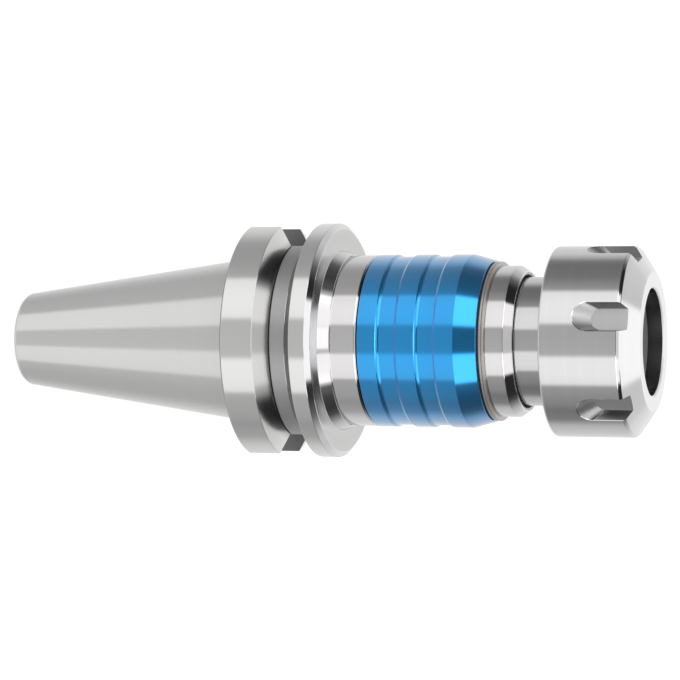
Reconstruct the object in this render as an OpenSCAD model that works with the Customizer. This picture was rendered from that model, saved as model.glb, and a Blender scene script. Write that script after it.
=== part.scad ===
// Tapping chuck holder with length compensation.
// A steep-taper shank carries a spindle that floats along the axis between two springs,
// three balls turn the spindle, and a slotted nut closes the collet seat at its front.
// Frame: +Z runs along the axis towards the nut, and the origin is the centre of the
// gauge plane, where the taper has its gauge diameter. The drive slots are at +X and -X.

/* [Taper] */
// Length of the taper from the gauge plane to its small end
taper_l = 65.4; // [62:0.2:68]
// Diameter of the taper at the gauge plane
gauge_d = 44.45; // [43.5:0.05:45]
// Diameter of the plain pilot bore for the pull stud
pilot_d = 17; // [16.6:0.1:17.4]
// Depth of the pilot bore
pilot_l = 8; // [6:0.5:10]
// Diameter drilled for the pull stud's thread
stud_d = 14; // [13.5:0.1:14.5]
// Length of that drilled hole
stud_l = 18; // [16:0.5:19]

/* [Flange] */
// Space between the gauge plane and the flange
flange_gap = 2; // [1.5:0.1:3]
// Outer diameter of the flange
flange_d = 63; // [61:0.5:66]
// Width of the ring behind the gripper groove
rear_ring_l = 8.95; // [8:0.05:10]
// Diameter at the floor of the gripper groove
groove_d = 53; // [52:0.5:54]
// Width of the groove's floor
groove_l = 4.4; // [4.2:0.1:5]
// Angle between the groove's two flanks
vee_angle = 60; // [50:1:64]
// Width of the ring in front of the groove, without its chamfer
front_ring_l = 4.2; // [3.5:0.1:5]
// Width of each drive slot
key_w = 16.1; // [15:0.1:17]
// Height of a drive slot's floor over the axis
key_h = 22.5; // [22.4:0.1:23.5]

/* [Housing] */
// Length of the cone between the flange's front face and the collar
boss_l = 2.75; // [2:0.25:4]
// Height of that cone over the collar
boss_h = 1.6; // [1:0.1:2.5]
// Length of the collar behind the sleeve
collar_l = 7.3; // [6:0.05:9]
// Height of the collar over the tube
collar_h = 2.9; // [2.2:0.1:3.3]
// Wall of the tube that carries the sleeve and ends in the nose
tube_wall = 2.95; // [2.6:0.05:3.3]
// Length of the nose in front of the retaining ring
nose_l = 7.01; // [6:0.01:8]
// Length of the chamfer at the nose's front
nose_chamfer = 2.15; // [1.5:0.05:2.5]
// Height of the main bore's floor over the gauge plane
bore_floor = 5; // [3:0.5:6]
// Diameter of the spring's pocket under the main bore
pocket_d = 23; // [22.4:0.2:24]
// Depth of that pocket under the bore's floor
pocket_l = 27; // [25:0.5:28]

/* [Sleeve] */
// Wall of the sleeve under its raised bands
sleeve_wall = 2.95; // [2.6:0.05:3.4]
// Number of bands, raised and turned down in turn
band_count = 5; // [3:2:5]
// Width of one band
band_l = 5.22; // [5:0.02:5.6]
// Step between a raised band and a turned down one
band_step = 0.5; // [0.3:0.1:0.7]
// Length of the cone at the sleeve's front
cone_l = 5.75; // [4.5:0.05:7]
// Wall of the sleeve at the small end of that cone
cone_wall = 1.35; // [1:0.05:1.8]

/* [Retaining ring] */
// Width of the two-turn ring that holds the sleeve
ring_l = 1.4; // [1.2:0.05:2]
// Height of the ring over the tube
ring_h = 1.1; // [0.8:0.1:1.3]
// Depth of the ring's groove in the tube
ring_deep = 0.8; // [0.5:0.1:0.9]
// Thickness of the rubber washer between the sleeve and the ring
washer_l = 0.5; // [0.4:0.02:1]

/* [Spindle] */
// Diameter of the spindle, which is also its visible neck
spindle_d = 34; // [33.6:0.1:34.2]
// Travel of the spindle each way from rest
stroke = 7.5; // [5:0.5:7.5]
// Length of neck that shows between the nose and the nut at rest
neck_l = 8.2; // [8.1:0.1:11]
// Thickness of the wall that carries both springs
web_l = 6; // [5:0.5:8]
// Diameter of the spring chamber in the spindle
chamber_d = 21; // [20.6:0.2:21.6]
// Step from the neck up to the thread
neck_step = 3; // [2.6:0.1:3.4]
// Wall of the threaded nose at the mouth of the collet seat
seat_wall = 3.5; // [3.2:0.1:3.9]
// Depth of the collet seat
seat_l = 31.5; // [30:0.5:33]
// Angle of the seat's wall to the axis
seat_angle = 8; // [7:0.5:8.5]

/* [Drive balls] */
// Diameter of a drive ball
ball_d = 6; // [5.5:0.1:6.2]
// Number of drive balls
ball_count = 3; // [2:1:4]
// Distance of the balls in front of the collar
ball_offset = 8.45; // [8.2:0.05:9.4]

/* [Springs and tie rod] */
// Diameter of the tie rod's shoulder
rod_d = 10; // [9:0.2:10.4]
// Diameter of the tie rod's head
rod_head_d = 16; // [15:0.2:17]
// Height of the tie rod's head
rod_head_l = 6; // [5:0.2:7]
// Wire diameter of the compression spring
push_wire = 2.8; // [2.2:0.1:3]
// Turns of the compression spring
push_turns = 8; // [6:1:8]
// Wire diameter of the tension spring
pull_wire = 2.4; // [2:0.1:2.4]
// Turns of the tension spring
pull_turns = 5; // [4:1:5]
// Length of the tension spring at rest
pull_l = 21; // [20:0.5:23]

/* [Clamp nut] */
// Wall of the nut over its thread
nut_wall = 5; // [4.5:0.1:6]
// Length of the nut
nut_l = 25.16; // [24.4:0.02:26]
// Length of the spindle that the nut covers
cover_l = 13.6; // [12.8:0.1:14]
// Height of the clamping cone between the nut's pocket and its front opening
clamp_h = 2.7; // [2:0.1:3.2]
// Length of the plain front opening
mouth_l = 4.4; // [4:0.1:5]
// Length of the front cone of the nut
nut_cone_l = 4.03; // [3.5:0.01:4.6]
// Width of the flat front face round the opening
face_w = 4.3; // [3.5:0.1:5]
// Number of wrench slots
slot_count = 6; // [4:1:6]
// Width of a wrench slot at its floor
slot_w = 5.6; // [4.6:0.1:6.4]
// Depth of a wrench slot
slot_deep = 3; // [2:0.1:3.2]
// Length of a wrench slot's floor, from its round end to the front face
slot_l = 12; // [10:0.2:14]
// Angle from the drive slots to the nearest wrench slot, as the nut stopped
slot_turn = 15; // [0:1:60]

/* [Hidden] */
$fn = 96;

// Clearances: pieces that are seated, pieces that run in each other, threads
seat_gap = 0.02;
run_gap = 0.05;
thread_gap = 0.03;
// Room left behind each end of the spindle's travel
end_gap = 1.5;
// Overrun of a cut past the surface that it opens
cut = 1;

// Heights along the axis, from the gauge plane forward
taper_per_l = 7 / 48;
tip_r = gauge_d / 2 - taper_l * taper_per_l;
vee_l = (flange_d - groove_d) / 2 * tan(vee_angle / 2);
rear_ring_z = flange_gap + rear_ring_l;
groove_z0 = rear_ring_z + vee_l;
groove_z1 = groove_z0 + groove_l;
front_ring_z = groove_z1 + vee_l;
front_chamfer_l = 1.2;
front_chamfer_h = 1.5;
flange_z = front_ring_z + front_ring_l + front_chamfer_l;
collar_z = flange_z + boss_l;
sleeve_z = collar_z + collar_l;
band_z = sleeve_z + 0.25;
cone_z = band_z + band_count * band_l;
sleeve_end = cone_z + cone_l;
ring_z = sleeve_end + washer_l;
nose_z = ring_z + ring_l + nose_l;
nut_z = nose_z + neck_l;
nut_end = nut_z + nut_l;

// Diameters, from the spindle outwards
bore_d = spindle_d + 2 * run_gap;
tube_d = bore_d + 2 * tube_wall;
collar_d = tube_d + 2 * collar_h;
boss_d = collar_d + 2 * boss_h;
sleeve_bore_d = tube_d + 2 * run_gap;
sleeve_d = sleeve_bore_d + 2 * sleeve_wall;
cone_d = sleeve_bore_d + 2 * cone_wall;
ring_d = tube_d + 2 * ring_h;
thread_d = spindle_d + 2 * neck_step;
seat_d = thread_d - 2 * seat_wall;
nut_d = thread_d + 2 * nut_wall;

// What sits in the tube's bore
pocket_z = bore_floor - pocket_l;
seal_l = 3.1;
bush_l = 10.6;
bush_wall = 1.15;
bush_d = bore_d + 2 * bush_wall;
bush_z = nose_z - seal_l - bush_l;
rod_thread_d = rod_d - 2;
rod_thread_l = 10.5;
rod_hole_l = rod_thread_l + 0.5;
spring_seat_l = 1.2;
tail_z = bore_floor + stroke + end_gap;
web_z = tail_z + web_l;
head_washer_z = web_z + pull_l;
rod_head_z = head_washer_z + spring_seat_l;
chamber_z = rod_head_z + rod_head_l + stroke + end_gap;
plug_l = 5.5;
plug_d = chamber_d + 1;
relief_d = plug_d + 1;
washer_d = chamber_d - 3;
push_seat_d = pocket_d - 1;
push_mean_d = push_seat_d - 0.4 - push_wire;
pull_mean_d = washer_d + 0.6 - pull_wire;

// The spindle's front inside the nut
shoulder_in = 2.5;
shoulder_z = nut_z + shoulder_in;
spindle_end = nut_z + cover_l;
seat_z = spindle_end - seat_l;
seat_end_r = seat_d / 2 - seat_l * tan(seat_angle);

// The nut's inside: thread, ring pocket, clamping cone and mouth
ring_pocket_gap = 0.6;
ring_pocket_z = spindle_end + ring_pocket_gap;
ring_pocket_l = 2;
ring_pocket_h = 2.1;
ring_pocket_d = seat_d + 2 * ring_pocket_h;
clamp_cone_z = nut_end - mouth_l;
clamp_cone_d = seat_d + 0.4;
mouth_d = clamp_cone_d - 2 * clamp_h;
face_d = mouth_d + 2 * face_w;

// The balls run half in the housing and half in the spindle's grooves
ball_z = sleeve_z + ball_offset;
ball_r_at = (tube_d - ball_d) / 2;
ball_angle = 30;
ball_run = stroke + ball_d / 2 + run_gap + 0.3;

// The guide band sits in a groove of the spindle's tail
band_ring_l = 7;
band_ring_wall = 1;
band_ring_in = 3;
band_ring_z = tail_z + band_ring_in;

// O-rings in the sleeve's bore, one each side of the balls
o_ring_d = 1.3;
o_ring_gap = 1.8;
o_ring_off = ball_d / 2 + o_ring_gap + o_ring_d / 2;
o_ring_z = [ball_z - o_ring_off, ball_z + o_ring_off];

module revolve(points) {
    rotate_extrude() polygon(points);
}

module bore(d, z0, z1) {
    translate([0, 0, z0]) cylinder(d = d, h = z1 - z0);
}

module ring(d_out, d_in, z0, z1) {
    difference() {
        bore(d_out, z0, z1);
        bore(d_in, z0 - cut, z1 + cut);
    }
}

module around(count, start = 0) {
    for (i = [0 : count - 1]) rotate(start + i * 360 / count) children();
}

// A round bar bent along a coil: two closed end turns and open turns between them
function coil_height(turn, turns, wire, rise) =
    let (closed = wire * 1.03, open = (rise - 2 * closed) / (turns - 2))
    turn < 1 ? turn * closed
    : turn > turns - 1 ? rise - (turns - turn) * closed
    : closed + (turn - 1) * open;

module coil(mean_d, wire, z0, z1, turns, steps = 24, sides = 8) {
    rise = z1 - z0 - wire;
    last = turns * steps;
    points = [
        for (i = [0 : last], k = [0 : sides - 1])
            let (a = i * 360 / steps, t = k * 360 / sides,
                 r = mean_d / 2 + wire / 2 * cos(t),
                 z = z0 + wire / 2 + coil_height(i / steps, turns, wire, rise))
            [r * cos(a), r * sin(a), z + wire / 2 * sin(t)]];
    sides_faces = [
        for (i = [0 : last - 1], k = [0 : sides - 1])
            let (a = i * sides + k, b = i * sides + (k + 1) % sides)
            [a, a + sides, b + sides, b]];
    start_face = [for (k = [0 : sides - 1]) k];
    end_face = [for (k = [sides - 1 : -1 : 0]) last * sides + k];
    polyhedron(points, concat(sides_faces, [start_face], [end_face]), convexity = 8);
}

// Outline of the shank from its small end forward, as radius and height
function shank_outline() =
    let (tip = 0.8, edge = 0.4, land = 0.5, under = 0.6, collar_c = 0.5, relief = 0.35,
         fr = flange_d / 2, gr = groove_d / 2, cr = collar_d / 2, tr = tube_d / 2,
         groove_r = tr - ring_deep)
    [[0, -taper_l], [tip_r - tip / 2, -taper_l], [tip_r + tip * taper_per_l, tip - taper_l],
     [gauge_d / 2, 0], [gauge_d / 2, land], [gauge_d / 2 - under, land + under],
     [gauge_d / 2 - under, flange_gap],
     [fr - edge, flange_gap], [fr, flange_gap + edge], [fr, rear_ring_z],
     [gr, groove_z0], [gr - relief, groove_z0], [gr - relief, groove_z0 + relief],
     [gr, groove_z0 + relief], [gr, groove_z1], [fr, front_ring_z],
     [fr, flange_z - front_chamfer_l], [fr - front_chamfer_h, flange_z],
     [boss_d / 2, flange_z], [cr + 0.15, collar_z - 0.15],
     [cr - 0.35, collar_z - 0.15], [cr - 0.35, collar_z + 0.15], [cr, collar_z + 0.15],
     [cr, sleeve_z - collar_c], [cr - collar_c, sleeve_z],
     [tr, sleeve_z], [tr, ring_z], [groove_r, ring_z],
     [groove_r, ring_z + ring_l], [tr, ring_z + ring_l],
     [tr, nose_z - nose_chamfer], [tr - 1.4, nose_z], [0, nose_z]];

// A drive slot, open to the rear, with round corners where the cutter turned
module drive_slot() {
    corner = 2;
    length = groove_z1 - flange_gap + cut;
    height = flange_d / 2 - key_h + cut;
    translate([key_h, 0, flange_gap - cut]) rotate([90, 0, 90]) linear_extrude(height) union() {
        translate([-key_w / 2, 0]) square([key_w, length - corner]);
        translate([corner - key_w / 2, 0]) square([key_w - 2 * corner, length]);
        for (side = [-1, 1]) translate([side * (key_w / 2 - corner), length - corner])
            circle(corner, $fn = 48);
    }
}

module shank() {
    color("#bcbdbf") difference() {
        revolve(shank_outline());
        bore(pilot_d, -taper_l - cut, pilot_l - taper_l);
        bore(stud_d, -taper_l, pilot_l + stud_l - taper_l);
        translate([0, 0, pilot_l + stud_l - taper_l])
            cylinder(d1 = stud_d, d2 = 0, h = stud_d / 2 / tan(59));
        bore(rod_thread_d + 2 * thread_gap, pocket_z - rod_hole_l, pocket_z + cut);
        bore(pocket_d, pocket_z, bore_floor + cut);
        bore(bore_d, bore_floor, bush_z + cut);
        bore(bush_d + 2 * seat_gap, bush_z, nose_z + cut);
        around(2) drive_slot();
        around(ball_count, ball_angle) translate([0, 0, ball_z]) rotate([0, 90, 0])
            cylinder(d = ball_d + 2 * run_gap, h = tube_d);
    }
}

// Outline of the sleeve's outside: raised bands, turned down bands and the front cone
function sleeve_outline() =
    let (hi = sleeve_d / 2, lo = hi - band_step, edge = 0.2)
    concat(
        [[sleeve_bore_d / 2, sleeve_z], [collar_d / 2 - 1, sleeve_z],
         [collar_d / 2 - 1, band_z], [hi - 2 * edge, band_z]],
        [for (i = [0 : band_count - 1]) let (z0 = band_z + i * band_l, z1 = z0 + band_l)
            each i % 2 == 0
                ? [[hi, z0 + (i == 0 ? 2 * edge : edge)], [hi, i == band_count - 1 ? z1 : z1 - band_step]]
                : [[lo, z0], [lo, z1], [hi - edge, z1]]],
        [[cone_d / 2, sleeve_end], [sleeve_bore_d / 2, sleeve_end]]);

module sleeve() {
    color("#2f86c8") difference() {
        revolve(sleeve_outline());
        for (z = o_ring_z)
            bore(sleeve_bore_d + 2 * o_ring_d, z - o_ring_d / 2 - 0.2, z + o_ring_d / 2 + 0.2);
    }
}

module sleeve_o_rings() {
    color("#202020") for (z = o_ring_z) translate([0, 0, z]) rotate_extrude()
        translate([tube_d / 2 + seat_gap + o_ring_d / 2, 0]) circle(d = o_ring_d, $fn = 32);
}

module sleeve_washer() {
    color("#1c1c1c") ring(ring_d - 0.5, tube_d + 2 * seat_gap, sleeve_end, ring_z + seat_gap);
}

// Two turns of flat wire, shown by a fine line round the ring's edge
module retaining_ring() {
    z0 = ring_z + seat_gap;
    z1 = ring_z + ring_l - seat_gap;
    middle = (z0 + z1) / 2;
    r_in = tube_d / 2 - ring_deep + seat_gap;
    r_out = ring_d / 2;
    color("#8b8078") revolve([
        [r_in, z0], [r_out - 0.15, z0], [r_out, z0 + 0.15],
        [r_out, middle - 0.15], [r_out - 0.4, middle - 0.05], [r_out - 0.4, middle + 0.05],
        [r_out, middle + 0.15], [r_out, z1 - 0.15], [r_out - 0.15, z1], [r_in, z1]]);
}

module drive_balls() {
    color("#d0d0d0") around(ball_count, ball_angle)
        translate([ball_r_at, 0, ball_z]) sphere(d = ball_d);
}

module front_bush() {
    color("#b08d57") ring(bush_d, spindle_d + 2 * run_gap, bush_z, bush_z + bush_l);
}

// The seal's lip leans on the neck, and its back fills the counterbore
module wiper_seal() {
    z0 = bush_z + bush_l;
    z1 = nose_z - 0.2;
    lip = spindle_d / 2 + run_gap;
    color("#181818") revolve([
        [lip + 0.3, z0], [bush_d / 2, z0], [bush_d / 2, z1], [lip + 0.5, z1],
        [lip, z1 - 0.8], [lip, z1 - 1.4]]);
}

module tie_rod() {
    socket = rod_head_d / 2;
    color("#3a3a3c") difference() {
        union() {
            bore(rod_thread_d, pocket_z - rod_thread_l, pocket_z);
            bore(rod_d, pocket_z, rod_head_z);
            bore(rod_head_d, rod_head_z, rod_head_z + rod_head_l);
        }
        translate([0, 0, rod_head_z + rod_head_l / 3])
            cylinder(d = socket / cos(30), h = rod_head_l, $fn = 6);
    }
}

module head_washer() {
    color("#8a8a8c") ring(washer_d, rod_d + 0.2, head_washer_z, rod_head_z);
}

module rear_spring_seat() {
    color("#8a8a8c") ring(push_seat_d, rod_d + 0.2, pocket_z, pocket_z + spring_seat_l);
}

module front_spring_seat() {
    color("#8a8a8c") ring(push_seat_d, rod_d + 0.2, tail_z - spring_seat_l, tail_z);
}

module compression_spring() {
    color("#6d6f74")
        coil(push_mean_d, push_wire, pocket_z + spring_seat_l, tail_z - spring_seat_l, push_turns);
}

module tension_spring() {
    color("#6d6f74") coil(pull_mean_d, pull_wire, web_z, head_washer_z, pull_turns);
}

// A ball's track in the spindle: a round groove as long as the ball's run
module ball_track() {
    translate([ball_r_at, 0, ball_z - ball_run]) cylinder(d = ball_d + 2 * run_gap, h = 2 * ball_run);
}

function spindle_outline() =
    let (r = spindle_d / 2, tr = thread_d / 2, c = 0.5, band_r = r - band_ring_wall,
         b0 = band_ring_z, b1 = b0 + band_ring_l)
    [[0, tail_z], [r - c, tail_z], [r, tail_z + c],
     [r, b0], [band_r, b0], [band_r, b1], [r, b1],
     [r, shoulder_z], [tr - c, shoulder_z], [tr, shoulder_z + c],
     [tr, spindle_end - c], [tr - c, spindle_end], [0, spindle_end]];

module spindle() {
    color("#aeb0b2") difference() {
        revolve(spindle_outline());
        bore(rod_d + 2 * run_gap, tail_z - cut, web_z + cut);
        bore(chamber_d, web_z, chamber_z + cut);
        bore(plug_d + 2 * thread_gap, chamber_z, chamber_z + plug_l + 0.5);
        bore(relief_d, chamber_z + plug_l, seat_z + cut);
        translate([0, 0, seat_z]) cylinder(r1 = seat_end_r, r2 = seat_d / 2, h = seat_l);
        translate([0, 0, spindle_end - 0.01]) cylinder(d = seat_d, h = cut);
        around(ball_count, ball_angle) ball_track();
    }
}

module guide_band() {
    z0 = band_ring_z + seat_gap;
    color("#5a4a3c")
        ring(bore_d - 2 * seat_gap, spindle_d - 2 * band_ring_wall + 2 * seat_gap,
             z0, z0 + band_ring_l - 2 * seat_gap);
}

module stop_screw() {
    color("#2e2e30") difference() {
        bore(plug_d, chamber_z, chamber_z + plug_l);
        translate([0, 0, chamber_z + plug_l / 3])
            cylinder(d = 8 / cos(30), h = plug_l, $fn = 6);
    }
}

// The ring's hole is off centre, so that one side of it hooks the collet's groove
module extractor_ring() {
    offset_y = 0.6;
    z0 = ring_pocket_z + 0.1;
    z1 = ring_pocket_z + ring_pocket_l - 0.1;
    color("#a5a5a5") difference() {
        bore(ring_pocket_d - 2 * run_gap, z0, z1);
        translate([0, offset_y, 0]) bore(seat_d - 0.8, z0 - cut, z1 + cut);
    }
}

function nut_outline() =
    let (r = nut_d / 2, tr = thread_d / 2 + thread_gap, edge = 0.5, steep = 0.5, steep_l = 0.95)
    [[tr, nut_z + 0.8], [tr + 0.8, nut_z], [r - edge, nut_z], [r, nut_z + edge],
     [r, nut_end - nut_cone_l - steep_l], [r - steep, nut_end - nut_cone_l],
     [face_d / 2, nut_end], [mouth_d / 2 + 0.4, nut_end], [mouth_d / 2, nut_end - 0.4],
     [mouth_d / 2, clamp_cone_z], [clamp_cone_d / 2, ring_pocket_z + ring_pocket_l],
     [ring_pocket_d / 2, ring_pocket_z + ring_pocket_l], [ring_pocket_d / 2, ring_pocket_z],
     [tr, ring_pocket_z]];

// A wrench slot: its walls lean outwards, and its round end runs out in a spoon
module wrench_slot() {
    flare = 1;
    run_out = 4.3;
    floor_h = nut_d / 2 - slot_deep;
    module outline(width, from) {
        translate([0, 0, from + width / 2]) rotate([0, 90, 0])
            cylinder(d = width, h = 0.01, $fn = 32);
        translate([0, -width / 2, from + width / 2]) cube([0.01, width, slot_l + run_out]);
    }
    hull() {
        translate([floor_h, 0, 0]) outline(slot_w, nut_end - slot_l);
        translate([nut_d / 2, 0, 0]) outline(slot_w + 2 * flare, nut_end - slot_l - run_out);
        translate([nut_d / 2 + 0.5, 0, 0]) outline(slot_w + 2 * flare, nut_end - slot_l - run_out);
    }
}

module clamp_nut() {
    color("#b9babb") difference() {
        revolve(nut_outline());
        around(slot_count, slot_turn) wrench_slot();
    }
}

shank();
sleeve();
sleeve_o_rings();
sleeve_washer();
retaining_ring();
drive_balls();
front_bush();
wiper_seal();
tie_rod();
head_washer();
rear_spring_seat();
compression_spring();
tension_spring();
spindle();
front_spring_seat();
guide_band();
stop_screw();
extractor_ring();
clamp_nut();
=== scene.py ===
# %% [markdown]
# # A tapping chuck, dressed in Blender
#
# The chuck arrives as a CAD model whose pieces already have their true sizes and places. This
# script keeps that frame and gives each piece its looks: smooth turned surfaces, fine lathe
# marks, a blue anodised sleeve, springs, threads, and a small studio to see them in.
#
# All sizes in the script are in millimetres, because that is what a drawing of such a part
# uses, and they are multiplied by `MM` when they become Blender's metres.

import bpy
import bmesh
import math
import numpy as np
from functools import partial
from mathutils import Matrix, Vector


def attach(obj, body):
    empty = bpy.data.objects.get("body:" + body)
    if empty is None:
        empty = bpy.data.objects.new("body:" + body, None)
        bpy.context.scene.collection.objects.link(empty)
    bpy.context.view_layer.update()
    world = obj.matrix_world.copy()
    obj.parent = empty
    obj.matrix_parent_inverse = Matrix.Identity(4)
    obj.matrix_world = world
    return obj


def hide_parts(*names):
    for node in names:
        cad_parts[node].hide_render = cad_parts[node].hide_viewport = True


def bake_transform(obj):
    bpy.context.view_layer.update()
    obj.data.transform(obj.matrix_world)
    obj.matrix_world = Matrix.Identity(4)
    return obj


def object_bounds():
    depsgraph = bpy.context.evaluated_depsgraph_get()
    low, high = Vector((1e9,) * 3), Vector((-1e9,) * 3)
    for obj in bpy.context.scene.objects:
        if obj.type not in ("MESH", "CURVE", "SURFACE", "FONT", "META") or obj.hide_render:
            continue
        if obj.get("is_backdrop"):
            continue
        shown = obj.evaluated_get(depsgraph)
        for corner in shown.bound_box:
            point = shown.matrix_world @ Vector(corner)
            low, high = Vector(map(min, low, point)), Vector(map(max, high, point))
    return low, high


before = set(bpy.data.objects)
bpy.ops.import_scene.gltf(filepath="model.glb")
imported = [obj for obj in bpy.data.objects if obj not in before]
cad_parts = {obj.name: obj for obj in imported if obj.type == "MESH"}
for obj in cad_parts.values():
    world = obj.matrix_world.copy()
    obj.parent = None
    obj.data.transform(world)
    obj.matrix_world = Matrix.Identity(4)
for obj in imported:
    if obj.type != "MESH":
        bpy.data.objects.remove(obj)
cad_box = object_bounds()
MM = 0.001
print("CAD nodes:", sorted(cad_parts))

# %% [markdown]
# ## The camera
#
# The chuck stands on its axis, Z, and the photograph shows it lying. So the camera is rolled
# a quarter turn: the chuck's Z runs to the right of the picture, and -X points up. It looks
# at the front of the chuck from a little above, 18 degrees, through a long lens. A long lens
# from far away keeps the two ends of the chuck almost at the same scale.
#
# A camera looks along its own -Z, with its own Y up. The three columns of its matrix are the
# directions of its right, its up and its back, written in the chuck's frame.

# %% Place the camera
def new_object(name, data):
    """An object with this data, in the scene."""
    made = bpy.data.objects.new(name, data)
    bpy.context.scene.collection.objects.link(made)
    return made


# The camera's place in metres, and how far it looks down, as a cosine and a sine.
EYE = (0, -0.69464, 0.24977)
LEAN_COS, LEAN_SIN = 0.9515, 0.3077
ROLL, LENS, SHIFT = 0.287, 143.2, 0.0005
right, up, back = Vector((0, LEAN_SIN, LEAN_COS)), Vector((-1, 0, 0)), Vector((0, -LEAN_COS, LEAN_SIN))
camera = new_object("camera", bpy.data.cameras.new("camera"))
turn = Matrix((right, up, back)).transposed().to_4x4()
camera.matrix_world = Matrix.Translation(EYE) @ turn @ Matrix.Rotation(math.radians(ROLL), 4, "Z")
camera.data.sensor_width = 36
camera.data.lens = LENS
camera.data.shift_y = SHIFT
bpy.context.scene.camera = camera
print("camera", round(math.degrees(math.atan2(LEAN_SIN, LEAN_COS)), 1), "degrees above the horizon")

# %% [markdown]
# ## The studio
#
# Bare metal has almost no colour of its own: it shows what stands round it. What makes the
# bright and dark stripes along the chuck is therefore the room. Such parts are photographed
# between two tall soft lamps beside the camera, under a broad lamp overhead, with black
# boards at the sides and a white sheet behind.
#
# That room could be built from lamps and boards. Here it is painted into the world, as a
# colour that depends on the direction of a ray, because then it lights the chuck evenly
# from every camera. A ray's azimuth is read off with an arctangent and looked up in five
# colour ramps, from well below the horizon to high above it. The lamps overhead are a band
# across the sky, from over the camera to the back of the room, with a ramp of its own.
#
# Rays that come straight from the camera see plain white, as in the photograph.

# %% Helpers for node trees
def connect(tree, slot, value):
    """Links a socket, or a node's first output, to the slot, or puts a plain value in it."""
    if isinstance(value, bpy.types.Node):
        value = value.outputs[0]
    if isinstance(value, bpy.types.NodeSocket):
        tree.links.new(value, slot)
    else:
        slot.default_value = value


def fill(tree, made, **values):
    """Sets a node's attributes and inputs by their names."""
    for key, value in values.items():
        if hasattr(made, key):
            setattr(made, key, value)
        else:
            connect(tree, made.inputs[key.replace("_", " ")], value)
    return made


def node(tree, kind, **values):
    """A new node of that kind, filled in."""
    return fill(tree, tree.nodes.new(kind), **values)


def calc(tree, operation, *inputs):
    """A Math node; inputs are numbers, sockets or nodes. Gives its output socket."""
    made = node(tree, "ShaderNodeMath", operation=operation)
    for slot, value in zip(made.inputs, inputs):
        connect(tree, slot, value)
    return made.outputs[0]


def maths(tree, *operations):
    """For each operation, a function that adds its Math node to this tree."""
    return [partial(calc, tree, operation) for operation in operations]


def smooth_step(tree, value, low, high):
    """0 below low, 1 above high, and a soft change between them."""
    made = node(tree, "ShaderNodeMapRange", interpolation_type="SMOOTHSTEP",
                From_Min=low, From_Max=high, Value=value)
    return made.outputs["Result"]


def blend(tree, factor, a, b, kind="FLOAT"):
    """a where factor is 0, b where it is 1."""
    made = node(tree, "ShaderNodeMix", data_type=kind)
    *slots, result = {"FLOAT": (0, 2, 3, 0), "RGBA": (0, 6, 7, 2)}[kind]
    for index, value in zip(slots, (factor, a, b)):
        connect(tree, made.inputs[index], value)
    return made.outputs[result]


# %% Paint the studio round the chuck
def grey_ramp(tree, turns, stops):
    """Grey values at angles in degrees; turns is the angle as a share of -180 to 180."""
    ramp = node(tree, "ShaderNodeValToRGB", Fac=turns)
    elements = ramp.color_ramp.elements
    while len(elements) > 1:
        elements.remove(elements[-1])
    for i, (angle, value) in enumerate(stops):
        place = (angle + 180) / 360
        stop = elements[0] if i == 0 else elements.new(place)
        stop.position = place
        stop.color = (value, value, value, 1)
    return ramp.outputs[0]


world = bpy.data.worlds.new("studio")
bpy.context.scene.world = world
world.use_nodes = True
tree = world.node_tree
tree.nodes.clear()
add, subtract, times, over, arctan = maths(tree, "ADD", "SUBTRACT", "MULTIPLY", "DIVIDE", "ARCTAN2")
direction = node(tree, "ShaderNodeTexCoord").outputs["Generated"]
x, y, z = node(tree, "ShaderNodeSeparateXYZ", Vector=direction).outputs
away_x = times(x, -1)
away_y = times(y, -1)
azimuth = add(over(arctan(away_x, away_y), 2 * math.pi), 0.5)
arc = add(over(arctan(z, away_y), 2 * math.pi), 0.5)
elevation = times(calc(tree, "ARCSINE", z), 180 / math.pi)

DEEP = [(-180, 0.95), (-156, 0.7), (-132, 0.56), (-112, 0.44), (-90, 0.43), (-62, 0.5), (-58, 0.84),
        (-20, 0.86), (-16, 0.53), (20, 0.5), (24, 0.86), (66, 0.86), (71, 0.45), (112, 0.43),
        (132, 0.55), (156, 0.75), (180, 0.95)]
BACK = [(-180, 0.85), (-160, 0.8), (-131, 0.69), (-121, 0.58), (-111, 0.42), (-91, 0.35), (-80, 0.41),
        (-55, 0.45), (-51, 0.92), (-41, 0.97), (-20, 1.0), (-16, 0.56), (19, 0.53), (23, 0.97),
        (41, 1.0), (61, 0.92), (65, 0.44), (80, 0.38), (102, 0.36), (112, 0.4), (121, 0.51),
        (131, 0.66), (142, 0.73), (160, 0.8), (180, 0.85)]
LOW = [(-180, 0.85), (-158, 0.75), (-131, 0.61), (-121, 0.53), (-115, 0.38), (-108, 0.23), (-91, 0.19),
       (-80, 0.27), (-56, 0.36), (-52, 0.93), (-40, 1.0), (-20, 1.0), (-16, 0.48), (19, 0.43),
       (23, 0.98), (45, 1.0), (61, 0.93), (65, 0.34), (84, 0.19), (105, 0.17), (113, 0.22),
       (121, 0.46), (131, 0.67), (150, 0.74), (180, 0.85)]
MIDDLE = [(-180, 1.0), (-150, 0.8), (-128, 0.5), (-120, 0.28), (-110, 0.08), (-98, 0.04), (-80, 0.06),
          (-60, 0.2), (-57, 1.9), (-19, 1.9), (-16, 0.12), (18, 0.1), (22, 1.9), (60, 1.9),
          (64, 0.2), (72, 0.1), (90, 0.05), (104, 0.07), (114, 0.12), (121, 0.28), (128, 0.5),
          (150, 0.8), (180, 1.0)]
HIGH = [(-180, 1.0), (-150, 0.72), (-132, 0.66), (-124, 0.45), (-116, 0.14), (-104, 0.03), (-66, 0.02),
        (-61, 1.1), (-20, 1.1), (-17, 0.6), (17, 0.6), (20, 1.1), (69, 1.1), (73, 0.02),
        (106, 0.02), (116, 0.14), (124, 0.5), (132, 0.66), (150, 0.74), (180, 1.0)]
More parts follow.
